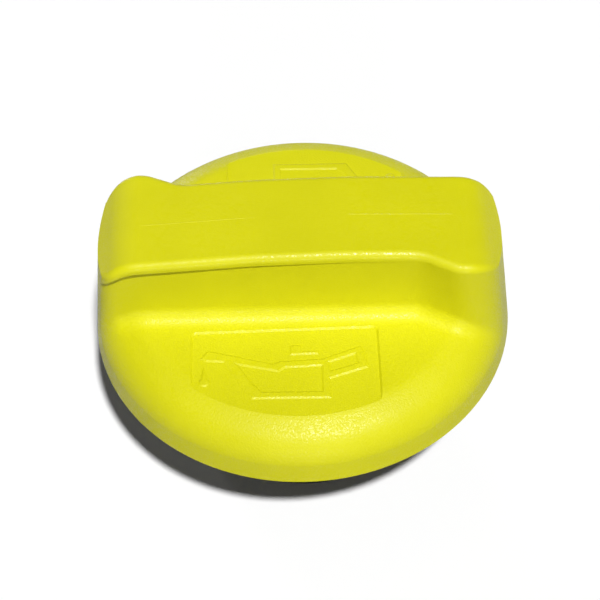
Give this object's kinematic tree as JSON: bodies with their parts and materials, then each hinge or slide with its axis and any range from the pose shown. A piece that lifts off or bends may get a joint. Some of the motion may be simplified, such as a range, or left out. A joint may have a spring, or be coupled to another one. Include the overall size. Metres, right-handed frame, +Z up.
{
  "type": "oil filler cap",
  "caption": "Round oil filler cap with a tall grip bar flared at two corners, recessed panels, a rubber seal and a hollow bayonet plug below.",
  "frame": {"origin": "on the cap's axis, in the plane where the seal meets the filler neck", "axes": "+Z up along the cap's axis, out of the engine; +X along the grip bar"},
  "size_m": [0.062, 0.062, 0.042],
  "materials": {
    "grip_yellow": "fine spark-textured satin",
    "plug_black": "smooth satin",
    "seal_rubber": "matt"
  },
  "bodies": {
    "root": {"grip_cover": "grip_yellow", "bayonet_plug": "plug_black", "seal_ring": "seal_rubber"}
  },
  "joints": []
}
